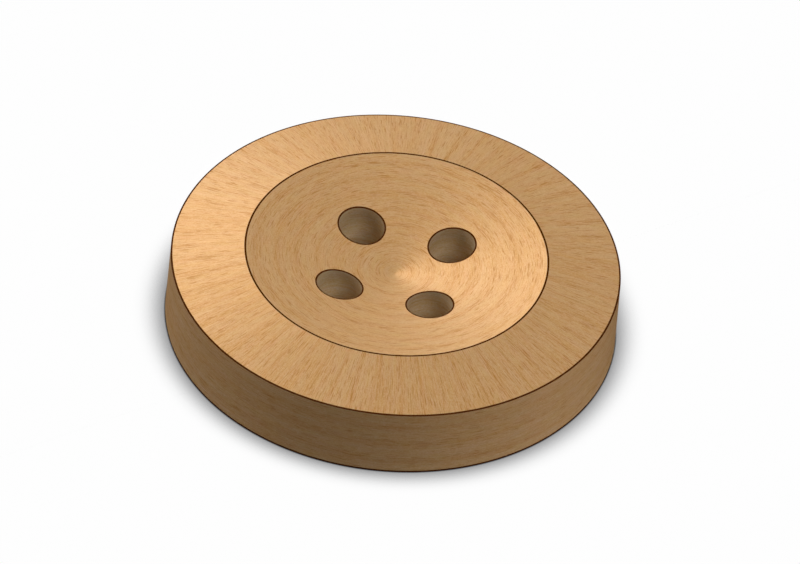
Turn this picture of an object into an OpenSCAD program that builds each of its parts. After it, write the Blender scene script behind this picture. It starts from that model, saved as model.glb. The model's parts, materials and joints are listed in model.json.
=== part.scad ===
// Sew-on button with four thread holes, turned from one slice of beech.
//
// The rim slopes up as a shallow cone, from the top of the side wall to a crest.
// Inside the crest the face is dished, again as a cone, down to a point on the axis.
// The holes run straight from the dish to the flat back, parallel to the axis.
//
// The origin is the centre of the back, +Z points out of the front face.

/* [Body] */
// Outer diameter of the button
button_d = 30; // [26:0.5:40]
// Height of the straight side wall
side_h = 5; // [4:0.1:8]
// How far the crest of the rim stands above the side wall
rim_rise = 1; // [0.2:0.1:1.5]
// Radius that eases the two outer arrises
arris_r = 0.1; // [0.05:0.01:0.3]

/* [Dish] */
// Diameter of the crest, where the rim ends and the dish begins
dish_d = 20.2; // [18:0.1:22]
// Depth of the dish below the crest, at the centre
dish_depth = 1.75; // [0.5:0.05:2.5]

/* [Thread holes] */
// Diameter of each thread hole
hole_d = 3.05; // [2:0.05:3.6]
// Side of the square that the four hole centres make
hole_pitch = 6.2; // [5:0.1:7.5]

/* [Hidden] */

$fn = 96;
outer_r = button_d / 2;
crest_r = dish_d / 2;
crest_h = side_h + rim_rise;
centre_h = crest_h - dish_depth;
// Straight runs in the arc that eases an arris
arris_steps = 6;
// Length that a drill runs past the face and past the back
overrun = 1;
beech = [0.80, 0.62, 0.42];

// Corners of the turned outline, as [radius, height], counter-clockwise from the back's centre
outline = [[0, 0], [outer_r, 0], [outer_r, side_h], [crest_r, crest_h], [0, centre_h]];

// Arc of radius r that eases corner b, where the outline comes from a and goes on to c
function eased(a, b, c, r) =
    let (
        to_a = (a - b) / norm(a - b),
        to_c = (c - b) / norm(c - b),
        half = acos(to_a * to_c) / 2,
        centre = b + (to_a + to_c) / norm(to_a + to_c) * r / sin(half),
        start = b + to_a * r / tan(half) - centre
    )
    [for (i = [0 : arris_steps])
        let (t = (180 - 2 * half) * i / arris_steps)
        centre + [start.x * cos(t) - start.y * sin(t), start.x * sin(t) + start.y * cos(t)]];

// The disc as it leaves the lathe, before the holes are drilled
module turned_disc() {
    back_arris = eased(outline[0], outline[1], outline[2], arris_r);
    top_arris = eased(outline[1], outline[2], outline[3], arris_r);
    rotate_extrude()
        polygon(concat([outline[0]], back_arris, top_arris, [outline[3], outline[4]]));
}

// Four drills on the corners of a square, centred on the axis
module thread_holes() {
    for (x = [-1, 1], y = [-1, 1])
        translate([x * hole_pitch / 2, y * hole_pitch / 2, -overrun])
            cylinder(h = crest_h + 2 * overrun, d = hole_d);
}

module button_body() {
    color(beech)
        difference() {
            turned_disc();
            thread_holes();
        }
}

button_body();
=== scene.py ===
import json
import math

import bmesh
import bpy
import numpy as np
from mathutils import Matrix, Vector
from mathutils.geometry import delaunay_2d_cdt


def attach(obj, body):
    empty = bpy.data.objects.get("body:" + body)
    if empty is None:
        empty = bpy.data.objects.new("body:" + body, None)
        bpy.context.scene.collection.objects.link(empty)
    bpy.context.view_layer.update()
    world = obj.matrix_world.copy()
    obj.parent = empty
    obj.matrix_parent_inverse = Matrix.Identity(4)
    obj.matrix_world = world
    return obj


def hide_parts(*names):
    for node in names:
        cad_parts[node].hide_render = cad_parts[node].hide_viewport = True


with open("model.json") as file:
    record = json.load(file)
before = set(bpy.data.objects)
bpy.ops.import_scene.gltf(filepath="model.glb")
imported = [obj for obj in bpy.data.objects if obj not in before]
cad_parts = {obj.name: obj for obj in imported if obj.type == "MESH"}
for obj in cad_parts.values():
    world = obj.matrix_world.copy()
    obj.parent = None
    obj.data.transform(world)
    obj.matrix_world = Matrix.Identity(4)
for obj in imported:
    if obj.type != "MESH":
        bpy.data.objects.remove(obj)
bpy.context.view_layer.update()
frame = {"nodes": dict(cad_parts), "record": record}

MM = 0.001
CAD_NODE = "button_body"
TINY = 0.001 * MM

# ---------------------------------------------------------------- measures, from the CAD frame


def turned_measures(node):
    """Radii and heights of the turned CAD shape, read off its vertices."""
    co = np.array([v.co for v in node.data.vertices], float)
    r, z = np.hypot(co[:, 0], co[:, 1]), co[:, 2]
    outer_r, crest_h = r.max(), z.max()
    crest_r = r[z > crest_h - TINY].mean()
    centre_h = z[r < TINY].max()
    rim_end = np.argmax(np.where(r > (crest_r + outer_r) / 2, z, 0))
    slope = (crest_h - z[rim_end]) / (r[rim_end] - crest_r)
    return outer_r, crest_r, crest_h, centre_h, crest_h - slope * (outer_r - crest_r)


OUTER_R, CREST_R, CREST_H, CENTRE_H, SIDE_H = turned_measures(frame["nodes"][CAD_NODE])
BORES = [m for m in frame["record"]["mounts"] if m["kind"] == "bore"]
HOLE_R = BORES[0]["dims"]["r_mm"] * MM
HOLES = [Vector(m["pos_m"][:2]) for m in BORES]
DISH_SLOPE = (CREST_H - CENTRE_H) / CREST_R
RIM_SLOPE = (CREST_H - SIDE_H) / (OUTER_R - CREST_R)

# ---------------------------------------------------------------- the turned and drilled mesh

ARRIS_R = 0.02 * MM  # easing of the two outer arrises
CREST_EASE_R = 0.3 * MM  # easing of the blunt crest
MOUTH_R = 0.03 * MM  # easing of the mouths of the holes
COLUMNS = 400  # facets round the outside
HOLE_COLUMNS = 72  # facets round a hole
ARC_STEPS = 6  # straight runs in the arc that eases an arris
JOIN_R = CREST_R - 0.6 * MM  # where the ring grid hands over to the drilled disc
FACE_STEP = 0.14 * MM  # spacing of vertices on the dish and the rim
SIDE_STEP = 0.2 * MM
BACK_STEP = 0.3 * MM
WALL_STEP = 0.25 * MM  # spacing of vertices down a hole
MIN_IN_RING = 6  # fewest vertices in a ring of the drilled disc
RING_TURN = 0.618  # turn from one such ring to the next, in facets, so that none line up
MERGE_LIMIT = 1e-6  # in mm, the distance at which the triangulation merges points
DISH, RIM, SIDE, BACK, BORE, ARRIS = range(6)  # material slots of the mesh
# Width of the dark line that runs along each arris, on each of the faces that meet there
CREST_LINE = 0.064 * MM  # on the dish and on the rim
EDGE_LINE = 0.118 * MM  # on the rim, and round the back
SIDE_LINE = 0.02 * MM  # on the side wall, under the rim
FOOT_LINE = 0.125 * MM  # on the side wall, above the back
HOLE_LINE = 0.112 * MM  # round a hole, on the dish and on the back
# Rings of vertices round a hole's dark line: how far out from it, and how far turned, in facets
SURROUNDS = [(0.1 * MM, 0), (0.23 * MM, 0.5)]
# The disc's own rings keep this far from a hole's wall, and half their spacing further
SURROUND_END = 0.35 * MM
MARK_DEPTH = 0.0022 * MM  # depth of the marks that the turning tool leaves
MARK_PITCH = 0.62 * MM
PITCH_WANDER, WANDER_PERIOD = 1.1, 2.7  # how far the marks stray in radians, and period in marks
MARK_SHARE, SWELL_SHARE = 0.3, 0.2  # parts of the depth in the marks and in a slower swell
SWELL_PERIOD = 1.618  # in marks
MARK_FADE = (0.15 * MM, 0.6 * MM)  # distances from an arris where the marks start and are full


def smooth_step(low, high, value):
    t = np.clip((value - low) / (high - low), 0, 1)
    return t * t * (3 - 2 * t)


def tool_marks(across, clear):
    """Depth of the turning marks at a distance across them, fading out towards an arris."""
    turn = 2 * math.pi * across / MARK_PITCH
    marks = np.sin(turn + PITCH_WANDER * np.sin(turn / WANDER_PERIOD))
    wave = 0.5 + MARK_SHARE * marks + SWELL_SHARE * np.sin(turn / SWELL_PERIOD)
    return MARK_DEPTH * wave * smooth_step(*MARK_FADE, clear)


def dish_height(x, y):
    r = np.hypot(x, y)
    return CENTRE_H + DISH_SLOPE * r - tool_marks(r, CREST_R - r)


def back_height(x, y):
    r = np.hypot(x, y)
    return tool_marks(r, OUTER_R - r)


def eased(a, b, c, radius):
    """The arc that eases corner b of the outline, which comes from a and goes on to c."""
    a, b, c = (np.array(p, float) for p in (a, b, c))
    to_a = (a - b) / np.linalg.norm(a - b)
    to_c = (c - b) / np.linalg.norm(c - b)
    half = math.acos(to_a @ to_c) / 2
    bisector = (to_a + to_c) / np.linalg.norm(to_a + to_c)
    centre = b + bisector * radius / math.sin(half)
    start = b + to_a * radius / math.tan(half) - centre
    turns = [-(math.pi - 2 * half) * i / ARC_STEPS for i in range(ARC_STEPS + 1)]
    return [
        centre + np.array([start[0] * math.cos(t) - start[1] * math.sin(t),
                           start[0] * math.sin(t) + start[1] * math.cos(t)])
        for t in turns
    ]


def run(a, b, step):
    """Points on the straight run from a to b, without a and with b."""
    a, b = np.array(a, float), np.array(b, float)
    count = max(1, round(np.linalg.norm(b - a) / step))
    return [a + (b - a) * i / count for i in range(1, count + 1)]


def outline():
    """The turned outline from the dish, over the crest and rim, down the side and under the back.

    Returns its points as (radius, height), and the material slot of each run between two points.
    """
    corners = [(0, CENTRE_H), (CREST_R, CREST_H), (OUTER_R, SIDE_H), (OUTER_R, 0), (0, 0)]
    crest, top, bottom = (
        eased(*corners[i:i + 3], radius)
        for i, radius in enumerate((CREST_EASE_R, ARRIS_R, ARRIS_R))
    )
    start = (JOIN_R, CENTRE_H + DISH_SLOPE * JOIN_R)
    dish_end = (CREST_R - CREST_LINE, CREST_H - DISH_SLOPE * CREST_LINE)
    rim_start = (CREST_R + CREST_LINE, CREST_H - RIM_SLOPE * CREST_LINE)
    rim_end = (OUTER_R - EDGE_LINE, SIDE_H + RIM_SLOPE * EDGE_LINE)
    side_start, side_end = (OUTER_R, SIDE_H - SIDE_LINE), (OUTER_R, FOOT_LINE)
    back_start, end = (OUTER_R - EDGE_LINE, 0), (JOIN_R, 0)
    points, slots = [start], []
    for stretch, slot in (
        (run(start, dish_end, FACE_STEP), DISH),
        (crest + [rim_start], ARRIS),
        (run(rim_start, rim_end, FACE_STEP), RIM),
        (top + [side_start], ARRIS),
        (run(side_start, side_end, SIDE_STEP), SIDE),
        (bottom + [back_start], ARRIS),
        (run(back_start, end, BACK_STEP), BACK),
    ):
        points += stretch
        slots += [slot] * len(stretch)
    return np.array(points, float), slots


def marked(points):
    """The outline with the turning marks cut into each face."""
    r, z = points.T
    on_side = r > OUTER_R - TINY
    on_back = ~on_side & (z < TINY)
    clear = np.minimum(np.abs(r - CREST_R), OUTER_R - r)
    lower = z - tool_marks(r, clear)
    higher = z + tool_marks(r, OUTER_R - r)
    narrower = r - tool_marks(z, np.minimum(z, SIDE_H - z))
    height = np.where(on_back, higher, np.where(on_side, z, lower))
    return np.stack([np.where(on_side, narrower, r), height], 1)


def ring_points(radius, count, centre=(0, 0), turn=0.0):
    """Points on a circle, turned by a part of their spacing."""
    angles = 2 * math.pi * (np.arange(count) + turn) / count
    x = centre[0] + radius * np.cos(angles)
    y = centre[1] + radius * np.sin(angles)
    return np.stack([x, y], 1)


def turned_grid():
    """Quads of the turned outline, from the join in the dish round to the join in the back."""
    points, slots = outline()
    profile = marked(points)
    rings = [
        np.column_stack([ring_points(r, COLUMNS), np.full(COLUMNS, z)]) for r, z in profile
    ]
    faces, materials = [], []
    for i, slot in enumerate(slots):
        for j in range(COLUMNS):
            k = (j + 1) % COLUMNS
            faces.append([n * COLUMNS + m for n, m in ((i, j), (i + 1, j), (i + 1, k), (i, k))])
            materials.append(slot)
    return np.concatenate(rings), faces, materials


def disc_points(spacing):
    """Rings of points that fill the disc inside the join, apart from the holes' surrounds."""
    rings = round(JOIN_R / spacing)
    points = [np.zeros((1, 2))]
    for i in range(1, rings):
        radius = JOIN_R * i / rings
        count = max(MIN_IN_RING, round(2 * math.pi * radius / spacing))
        points.append(ring_points(radius, count, turn=RING_TURN * i))
    points = np.concatenate(points)
    for hole in HOLES:
        reach = np.hypot(points[:, 0] - hole.x, points[:, 1] - hole.y)
        points = points[reach > HOLE_R + SURROUND_END + spacing / 2]
    return points


def drilled_disc(spacing, height, slot):
    """Triangles that fill the disc inside the join, round the four mouths."""
    mouths = [ring_points(HOLE_R + MOUTH_R, HOLE_COLUMNS, hole) for hole in HOLES]
    lines = [ring_points(HOLE_R + HOLE_LINE, HOLE_COLUMNS, hole, turn=0.5) for hole in HOLES]
    surrounds = [
        ring_points(HOLE_R + HOLE_LINE + gap, HOLE_COLUMNS, hole, turn)
        for hole in HOLES
        for gap, turn in SURROUNDS
    ]
    loops = [ring_points(JOIN_R, COLUMNS)] + mouths + lines
    points = np.concatenate(loops + surrounds + [disc_points(spacing)])
    edges, first = [], 0
    for loop in loops:
        edges += [(first + i, first + (i + 1) % len(loop)) for i in range(len(loop))]
        first += len(loop)
    vectors = [Vector(p / MM) for p in points]
    flat, _, triangles, *_ = delaunay_2d_cdt(vectors, edges, [], 0, MERGE_LIMIT)
    flat = np.array(flat) * MM
    triangles = np.array(triangles)
    middles = flat[triangles].mean(1)
    reach = np.min([np.hypot(*(middles - hole).T) for hole in HOLES], 0)
    kept = reach > HOLE_R + MOUTH_R * math.cos(math.pi / HOLE_COLUMNS) - TINY
    on_line = reach[kept] < HOLE_R + HOLE_LINE
    faces = triangles[kept] if slot == DISH else triangles[kept][:, ::-1]
    co = np.column_stack([flat, height(*flat.T)])
    return co, faces.tolist(), np.where(on_line, ARRIS, slot).tolist()


def hole_wall(hole):
    """Quads of one hole's wall, from the eased mouth in the dish to the one in the back."""
    angles = [math.pi / 2 * i / ARC_STEPS for i in range(ARC_STEPS + 1)]
    steps = [(MOUTH_R * (1 - math.sin(a)), MOUTH_R * (1 - math.cos(a))) for a in angles]
    upper, lower = [], []
    for wider, depth in steps:
        flat = ring_points(HOLE_R + wider, HOLE_COLUMNS, hole)
        upper.append(np.column_stack([flat, dish_height(*flat.T) - depth]))
        lower.insert(0, np.column_stack([flat, back_height(*flat.T) + depth]))
    count = round(CENTRE_H / WALL_STEP)
    wall = [upper[-1] + (lower[0] - upper[-1]) * i / count for i in range(1, count)]
    rings = upper + wall + lower
    slots = [ARRIS] * (len(upper) - 1) + [BORE] * count + [ARRIS] * (len(lower) - 1)
    faces, materials = [], []
    for i, slot in enumerate(slots):
        for j in range(HOLE_COLUMNS):
            k = (j + 1) % HOLE_COLUMNS
            corners = ((i, j), (i, k), (i + 1, k), (i + 1, j))
            faces.append([n * HOLE_COLUMNS + m for n, m in corners])
            materials.append(slot)
    return np.concatenate(rings), faces, materials


def button_mesh():
    parts = [
        turned_grid(),
        drilled_disc(FACE_STEP, dish_height, DISH),
        drilled_disc(BACK_STEP, back_height, BACK),
    ]
    parts += [hole_wall(hole) for hole in HOLES]
    points, faces, slots = [], [], []
    for co, part_faces, part_slots in parts:
        start = sum(len(p) for p in points)
        points.append(co)
        faces += [[start + v for v in f] for f in part_faces]
        slots += part_slots
    mesh = bpy.data.meshes.new("turned_button")
    mesh.from_pydata(np.concatenate(points).tolist(), [], faces)
    mesh.polygons.foreach_set("material_index", slots)
    bm = bmesh.new()
    bm.from_mesh(mesh)
    bmesh.ops.remove_doubles(bm, verts=bm.verts, dist=TINY)
    for face in bm.faces:
        face.smooth = True
    bm.to_mesh(mesh)
    bm.free()
    return mesh


# ---------------------------------------------------------------- camera

VIEW_AZIMUTH = 10.08  # degrees round from looking along +Y
VIEW_ELEVATION = 41.63
VIEW_ROLL = 5.67
VIEW_WIDTH = 53.16 * MM
AIM_RIGHT, AIM_UP = 0.652 * MM, 2.612 * MM  # from the origin to the middle of the view
STAND_OFF = 200 * MM
CLIP_START, CLIP_END = 1 * MM, 4000 * MM


def add_camera():
    data = bpy.data.cameras.new("camera")
    data.type = "ORTHO"
    data.ortho_scale = VIEW_WIDTH
    data.clip_start, data.clip_end = CLIP_START, CLIP_END
    camera = bpy.data.objects.new("camera", data)
    bpy.context.scene.collection.objects.link(camera)
    turn = (
        Matrix.Rotation(math.radians(VIEW_AZIMUTH), 3, "Z")
        @ Matrix.Rotation(math.radians(90 - VIEW_ELEVATION), 3, "X")
        @ Matrix.Rotation(math.radians(VIEW_ROLL), 3, "Z")
    )
    right, up, back = turn.col
    camera.location = right * AIM_RIGHT + up * AIM_UP + back * STAND_OFF
    camera.rotation_euler = turn.to_euler()
    bpy.context.scene.camera = camera


# ---------------------------------------------------------------- node helpers


def add_node(tree, kind, inputs=None, **settings):
    """Adds a node and fills its inputs, each with a value or with another node's output."""
    node = tree.nodes.new("ShaderNode" + kind)
    for name, value in settings.items():
        setattr(node, name, value)
    for socket, value in (inputs or {}).items():
        if isinstance(value, bpy.types.NodeSocket):
            tree.links.new(value, node.inputs[socket])
        else:
            node.inputs[socket].default_value = value
    return node


def calc(tree, operation, *values):
    return add_node(tree, "Math", dict(enumerate(values)), operation=operation).outputs[0]


def combine(tree, x, y, z):
    return add_node(tree, "CombineXYZ", {0: x, 1: y, 2: z}).outputs[0]


def noise(tree, space, detail=2.0, roughness=0.5, output="Fac"):
    inputs = {"Vector": space, "Scale": 1.0, "Detail": detail, "Roughness": roughness}
    return add_node(tree, "TexNoise", inputs).outputs[output]


def ramp(tree, value, low, high, to_low=0.0, to_high=1.0):
    """Carries a value from low..high over to to_low..to_high, with soft ends."""
    inputs = {
        "Value": value,
        "From Min": low,
        "From Max": high,
        "To Min": to_low,
        "To Max": to_high,
    }
    return add_node(tree, "MapRange", inputs, interpolation_type="SMOOTHSTEP").outputs[0]


# The Mix node's sockets for colours go by number, because its other sockets share their names.
MIX_FACTOR, MIX_A, MIX_B, MIX_RESULT = 0, 6, 7, 2


def blend(tree, a, b, factor):
    """Colour a where the factor is 0 and colour b where it is 1."""
    inputs = {MIX_FACTOR: factor, MIX_A: a, MIX_B: b}
    return add_node(tree, "Mix", inputs, data_type="RGBA").outputs[MIX_RESULT]


def times(tree, a, b):
    inputs = {MIX_FACTOR: 1.0, MIX_A: a, MIX_B: b}
    mix = add_node(tree, "Mix", inputs, data_type="RGBA", blend_type="MULTIPLY")
    return mix.outputs[MIX_RESULT]


def weighted(tree, start, *terms):
    """start plus each value times its weight."""
    total = start
    for value, weight in terms:
        total = calc(tree, "MULTIPLY_ADD", value, weight, total)
    return total


class Place:
    """Where a point of the button is, in millimetres, as node outputs."""

    def __init__(self, tree):
        coords = add_node(tree, "TexCoord").outputs["Object"]
        inputs = {0: coords, "Scale": 1 / MM}
        scaled = add_node(tree, "VectorMath", inputs, operation="SCALE").outputs[0]
        axes = add_node(tree, "SeparateXYZ", {0: scaled})
        self.tree = tree
        self.x, self.y, self.z = axes.outputs
        flat = combine(tree, self.x, self.y, 0)
        self.r = add_node(tree, "VectorMath", {0: flat}, operation="LENGTH").outputs["Value"]


# Each kind of grain gives a space for noise, in which one unit is a feature's width or its length,
# and the phase of growth lines that lie a pitch apart.


class Rays:
    """Grain that runs out along the radii."""

    MEAN_R = (CREST_R + OUTER_R) / 2 / MM

    def __init__(self, place):
        self.place, self.tree = place, place.tree

    def space(self, width, length):
        turn = calc(self.tree, "DIVIDE", self.MEAN_R / width, self.place.r)
        x, y = (calc(self.tree, "MULTIPLY", side, turn) for side in (self.place.x, self.place.y))
        return combine(self.tree, x, y, calc(self.tree, "DIVIDE", self.place.r, length))

    def phase(self, pitch):
        lines = round(2 * math.pi * self.MEAN_R / pitch)
        angle = calc(self.tree, "ARCTAN2", self.place.y, self.place.x)
        return calc(self.tree, "MULTIPLY", angle, lines)


class Rings:
    """Grain that runs round the axis, on a face."""

    def __init__(self, place):
        self.place, self.tree, self.across = place, place.tree, place.r

    def space(self, width, length):
        x, y = (calc(self.tree, "DIVIDE", side, length) for side in (self.place.x, self.place.y))
        return combine(self.tree, x, y, calc(self.tree, "DIVIDE", self.across, width))

    def phase(self, pitch):
        return calc(self.tree, "MULTIPLY", self.across, 2 * math.pi / pitch)


class Bands(Rings):
    """Grain that runs round the axis, on a wall."""

    def __init__(self, place):
        super().__init__(place)
        self.across = place.z


# ---------------------------------------------------------------- beech

BEECH = (0.599, 0.352, 0.156)
# Painted light: the side wall's beech is a little paler than the faces' beech, to brighten the
# side
SIDE_BEECH_PAINTED_LIGHT = (0.612, 0.365, 0.172)
# Painted light: the bores' beech is paler and less red than the faces' beech, to offset the shade
# and the reddish bounce light inside the holes
BORE_BEECH_PAINTED_LIGHT = (0.60, 0.455, 0.27)
SHEEN_TINT = (1.0, 0.5, 0.15, 1.0)
SHEEN_IOR = 1.7

# Width and length in mm of what the grain is made of.
STREAK = (0.052, 8)
FIBRE = (0.052, 0.6)
PORE = (0.05, 0.12)
FLECK = (0.052, 0.9)
BAND = (2.7, 15)
HUE_PATCH = (0.4, 1.6)
GROWTH_PITCH = 1.37

# What the darkest and the palest grain and the flecks multiply the wood's colour by. Dark beech
# is redder than pale beech.
DARK_GRAIN = (0.80, 0.50, 0.05, 1.0)
PALE_GRAIN = (1.23, 1.53, 1.98, 1.0)
FLECK_TONE = (0.72, 0.50, 0.22, 1.0)

# How far the patches of another hue scale red, green and blue, about an average of 1
HUE_SPREAD = (0.10, 0.05, 0.35)
HUE_START = tuple(1 - spread / 2 for spread in HUE_SPREAD)

# What each part of the grain adds to the grey that runs from the darkest grain to the palest
FIBRE_SHARE = 0.56
PORE_SHARE = 0.44
BAND_SHARE = 0.2
GROWTH_SHARE = -0.055

GROWTH_WANDER = 5.0  # how far the bands carry the growth lines out of line, in radians
GROWTH_BY_BAND = 1.5  # how much the paler bands favour a growth line
GROWTH_RANGE = (1.1, 1.9)  # values of the wave at which a growth line starts and is full
FLECK_BY_GROWTH = 0.04  # how much a growth line favours flecks
FLECK_RANGE = (0.6, 0.69)  # values of the noise at which a fleck starts and is full

FLECK_SINK = -0.8  # how deep a fleck lies in the relief of the fibres
FLECK_ROUGHNESS = 0.15
ROUGH_FIBRES = (0.2, 0.8, 0.42, 0.32)  # fibre noise from and to, roughness from and to
BUMP_STRENGTH = 0.5
BUMP_DEPTH = 0.006 * MM

# Painted light: what a hole's wall multiplies its colour by, halfway down and at the mouths, so
# that it is paler deep inside against the shade that falls down the hole
WALL_PAINTED_LIGHT = (1.2, 0.66)

# The burnt arrises: colours and roughness of the darkest and the least dark char
BURNT = (0.06, 0.016, 0.003, 1.0)
SCORCHED = (0.095, 0.027, 0.005, 1.0)
CHAR_ROUGHNESS = (0.95, 0.75)


def opaque(color):
    return (*color, 1.0)


def beech(
    name, color, grain_kind, streak_share=0.4, ring_share=0.018, fleck_share=0.85, painted_light=None
):
    """A satin beech face. A tone of painted light, if given, multiplies its colour by place."""
    material = bpy.data.materials.new(name)
    material.use_nodes = True
    tree = material.node_tree
    place = Place(tree)
    grain = grain_kind(place)
    streaks = noise(tree, grain.space(*STREAK), detail=1)
    fibres = noise(tree, grain.space(*FIBRE), detail=2, roughness=0.6)
    pores = noise(tree, grain.space(*PORE), detail=0)
    band = noise(tree, grain.space(*BAND), detail=1)
    wave = calc(tree, "SINE", weighted(tree, grain.phase(GROWTH_PITCH), (band, GROWTH_WANDER)))
    growth = ramp(tree, weighted(tree, wave, (band, GROWTH_BY_BAND)), *GROWTH_RANGE)
    flecks = noise(tree, grain.space(*FLECK), detail=1)
    flecks = ramp(tree, weighted(tree, flecks, (growth, FLECK_BY_GROWTH)), *FLECK_RANGE)

    shares = (
        (streaks, streak_share),
        (fibres, FIBRE_SHARE),
        (pores, PORE_SHARE),
        (band, BAND_SHARE),
    )
    start = 0.5 - sum(share for _, share in shares) / 2
    grey = weighted(tree, start, *shares, (growth, GROWTH_SHARE), (wave, -ring_share))
    shade = times(tree, opaque(color), blend(tree, DARK_GRAIN, PALE_GRAIN, grey))
    fleck_shade = times(tree, opaque(color), FLECK_TONE)
    shade = blend(tree, shade, fleck_shade, calc(tree, "MULTIPLY", flecks, fleck_share))
    patches = noise(tree, grain.space(*HUE_PATCH), output="Color")
    inputs = {0: patches, 1: HUE_SPREAD, 2: HUE_START}
    hue = add_node(tree, "VectorMath", inputs, operation="MULTIPLY_ADD").outputs[0]
    shade = times(tree, shade, hue)
    # multiplies the colour by a tone of painted light, if one is given
    if painted_light:
        shade = times(tree, shade, painted_light(place))

    relief = weighted(tree, fibres, (flecks, FLECK_SINK))
    inputs = {"Strength": BUMP_STRENGTH, "Distance": BUMP_DEPTH, "Height": relief}
    bump = add_node(tree, "Bump", inputs)
    rough = weighted(tree, ramp(tree, fibres, *ROUGH_FIBRES), (flecks, FLECK_ROUGHNESS))

    shader = tree.nodes["Principled BSDF"]
    tree.links.new(shade, shader.inputs["Base Color"])
    tree.links.new(rough, shader.inputs["Roughness"])
    tree.links.new(bump.outputs[0], shader.inputs["Normal"])
    shader.inputs["IOR"].default_value = SHEEN_IOR
    shader.inputs["Specular IOR Level"].default_value = 1.0
    shader.inputs["Specular Tint"].default_value = SHEEN_TINT
    return material


def wall_painted_light(place):
    """Painted light: a hole's wall is paler deep inside than towards both mouths, to offset the
    shade that falls down the hole.
    """
    tree = place.tree
    middle = SIDE_H / 2 / MM
    from_middle = calc(tree, "ABSOLUTE", calc(tree, "SUBTRACT", place.z, middle))
    return ramp(tree, from_middle, 0, middle, *WALL_PAINTED_LIGHT)


def burnt_arris():
    """The dark line that the turner burns into each arris: charred, so without any gloss."""
    material = bpy.data.materials.new("beech_arris")
    material.use_nodes = True
    tree = material.node_tree
    place = Place(tree)
    char = noise(tree, Rings(place).space(*FIBRE))
    shader = tree.nodes["Principled BSDF"]
    tree.links.new(blend(tree, BURNT, SCORCHED, char), shader.inputs["Base Color"])
    tree.links.new(ramp(tree, char, 0, 1, *CHAR_ROUGHNESS), shader.inputs["Roughness"])
    shader.inputs["Specular IOR Level"].default_value = 0
    return material


def add_button():
    button = bpy.data.objects.new("turned_button", button_mesh())
    bpy.context.scene.collection.objects.link(button)
    # In the order of the slots DISH, RIM, SIDE, BACK, BORE and ARRIS
    for material in (
        beech("beech_dish", BEECH, Rings, streak_share=0.27),
        beech("beech_rim", BEECH, Rays, ring_share=0.008),
        beech("beech_side", SIDE_BEECH_PAINTED_LIGHT, Bands, streak_share=0.45, fleck_share=0.65),
        beech("beech_back", BEECH, Rings, streak_share=0.3),
        # the bores' colour is multiplied by painted light, paler deep inside the holes
        beech("beech_bore", BORE_BEECH_PAINTED_LIGHT, Bands, fleck_share=0.4, painted_light=wall_painted_light),
        burnt_arris(),
    ):
        button.data.materials.append(material)
    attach(button, "root")
    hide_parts(CAD_NODE)


# ---------------------------------------------------------------- studio

FLOOR_HALF = 2000 * MM
FLOOR_WHITE = (0.99, 0.99, 0.99, 1.0)
# The contact shadow and the thin dark line in it: colour, how far round it looks for the button,
# and the parts of open sky where it is full and where it ends
CONTACT_SHADE = (0.25, 0.25, 0.255, 1.0)
CONTACT_REACH = 2.3 * MM
CONTACT_SKY = (0.4, 1.0)
CONTACT_LINE = (0.03, 0.03, 0.03, 1.0)
CONTACT_LINE_REACH = 0.2 * MM
CONTACT_LINE_SKY = (0.5, 0.85)
SKY_SAMPLES = 16

# Soft lights: direction round from the camera's right and up from the floor in degrees,
# how wide each looks in degrees, its strength, and whether it shows in the gloss.
LIGHTS = {
    "key": (114, 35, 36, 1.3, True),
    "left_key": (168, 22, 48, 1.8, False),
    "front_fill": (308, 53, 47, 1.5, True),
    "right_fill": (16, 5, 66, 1.55, False),
    "low_fill": (312, 0, 80, 0.16, True),
}


def add_light(name, azimuth, elevation, width, strength, in_gloss):
    data = bpy.data.lights.new(name, "SUN")
    data.energy, data.angle = strength, math.radians(width)
    light = bpy.data.objects.new(name, data)
    bpy.context.scene.collection.objects.link(light)
    turn, rise = math.radians(azimuth + VIEW_AZIMUTH), math.radians(elevation)
    out = math.cos(rise)
    towards = Vector((out * math.cos(turn), out * math.sin(turn), math.sin(rise)))
    light.rotation_euler = towards.to_track_quat("Z", "Y").to_euler()
    light.visible_camera = False
    light.visible_glossy = in_gloss


def open_sky(tree, reach):
    """How much of the sky a point of the floor sees past whatever stands within reach."""
    return add_node(
        tree, "AmbientOcclusion", {"Distance": reach}, samples=SKY_SAMPLES
    ).outputs["AO"]


def add_floor():
    """A pale floor that shines by itself, with a soft contact shadow round the button."""
    s = FLOOR_HALF
    mesh = bpy.data.meshes.new("floor")
    mesh.from_pydata([(-s, -s, 0), (s, -s, 0), (s, s, 0), (-s, s, 0)], [], [(0, 1, 2, 3)])
    material = bpy.data.materials.new("floor")
    material.use_nodes = True
    tree = material.node_tree
    tree.nodes.clear()
    sky = open_sky(tree, CONTACT_REACH)
    shade = blend(tree, CONTACT_SHADE, FLOOR_WHITE, ramp(tree, sky, *CONTACT_SKY))
    sky = open_sky(tree, CONTACT_LINE_REACH)
    shade = blend(tree, CONTACT_LINE, shade, ramp(tree, sky, *CONTACT_LINE_SKY))
    glow = add_node(tree, "Emission", {"Color": shade})
    out = add_node(tree, "OutputMaterial")
    tree.links.new(glow.outputs[0], out.inputs[0])
    mesh.materials.append(material)
    floor = bpy.data.objects.new("floor", mesh)
    bpy.context.scene.collection.objects.link(floor)
    floor.visible_diffuse = floor.visible_glossy = False


def add_world():
    world = bpy.data.worlds.new("studio")
    world.use_nodes = True
    world.node_tree.nodes["Background"].inputs["Color"].default_value = FLOOR_WHITE
    bpy.context.scene.world = world
    world.cycles_visibility.diffuse = world.cycles_visibility.glossy = False


# ---------------------------------------------------------------- assembly

add_button()
add_camera()
add_floor()
add_world()
for light_name, settings in LIGHTS.items():
    add_light(light_name, *settings)
bpy.context.scene.view_settings.view_transform = "Standard"
